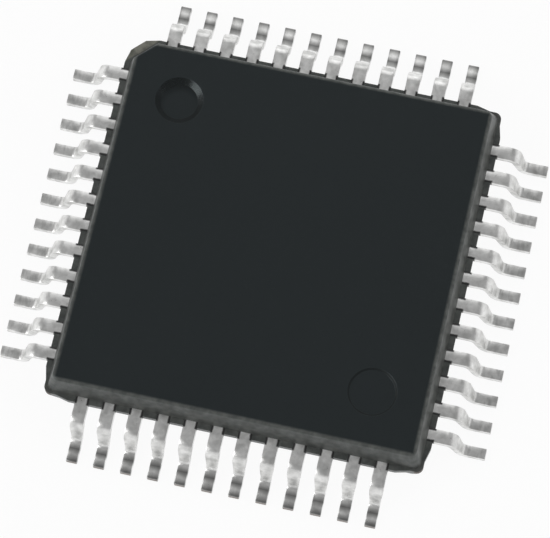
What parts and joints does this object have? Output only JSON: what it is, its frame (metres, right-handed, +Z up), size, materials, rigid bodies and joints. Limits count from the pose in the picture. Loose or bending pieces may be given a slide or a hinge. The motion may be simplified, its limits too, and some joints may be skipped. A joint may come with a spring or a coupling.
{
  "type": "quad flat pack chip",
  "caption": "Thin quad flat pack integrated circuit: a flat moulded body with a cut first corner, gull-wing leads along all four sides, and its die, paddle and bond wires sealed inside.",
  "frame": {"origin": "middle of the package, on the seating plane under the lead feet", "axes": "+Z up through the top face, +X and +Y along the sides, first lead's corner at -X +Y"},
  "size_m": [0.009, 0.009, 0.0011],
  "materials": {
    "moulding": "fine matt charcoal epoxy moulding compound",
    "plated_lead": "satin tin plating on copper alloy",
    "frame_copper": "rolled copper alloy, satin",
    "silver_epoxy": "silver-filled adhesive",
    "silicon": "polished silicon",
    "gold_wire": "drawn gold wire"
  },
  "bodies": {
    "root": {"body": "moulding", "die_paddle": "frame_copper", "die_attach": "silver_epoxy", "silicon_die": "silicon", "bond_wires": "gold_wire", "lead_01": "plated_lead", "lead_02": "plated_lead", "lead_03": "plated_lead", "lead_04": "plated_lead", "lead_05": "plated_lead", "lead_06": "plated_lead", "lead_07": "plated_lead", "lead_08": "plated_lead", "lead_09": "plated_lead", "lead_10": "plated_lead", "lead_11": "plated_lead", "lead_12": "plated_lead", "lead_13": "plated_lead", "lead_14": "plated_lead", "lead_15": "plated_lead", "lead_16": "plated_lead", "lead_17": "plated_lead", "lead_18": "plated_lead", "lead_19": "plated_lead", "lead_20": "plated_lead", "lead_21": "plated_lead", "lead_22": "plated_lead", "lead_23": "plated_lead", "lead_24": "plated_lead", "lead_25": "plated_lead", "lead_26": "plated_lead", "lead_27": "plated_lead", "lead_28": "plated_lead", "lead_29": "plated_lead", "lead_30": "plated_lead", "lead_31": "plated_lead", "lead_32": "plated_lead", "lead_33": "plated_lead", "lead_34": "plated_lead", "lead_35": "plated_lead", "lead_36": "plated_lead", "lead_37": "plated_lead", "lead_38": "plated_lead", "lead_39": "plated_lead", "lead_40": "plated_lead", "lead_41": "plated_lead", "lead_42": "plated_lead", "lead_43": "plated_lead", "lead_44": "plated_lead", "lead_45": "plated_lead", "lead_46": "plated_lead", "lead_47": "plated_lead", "lead_48": "plated_lead"}
  },
  "joints": []
}
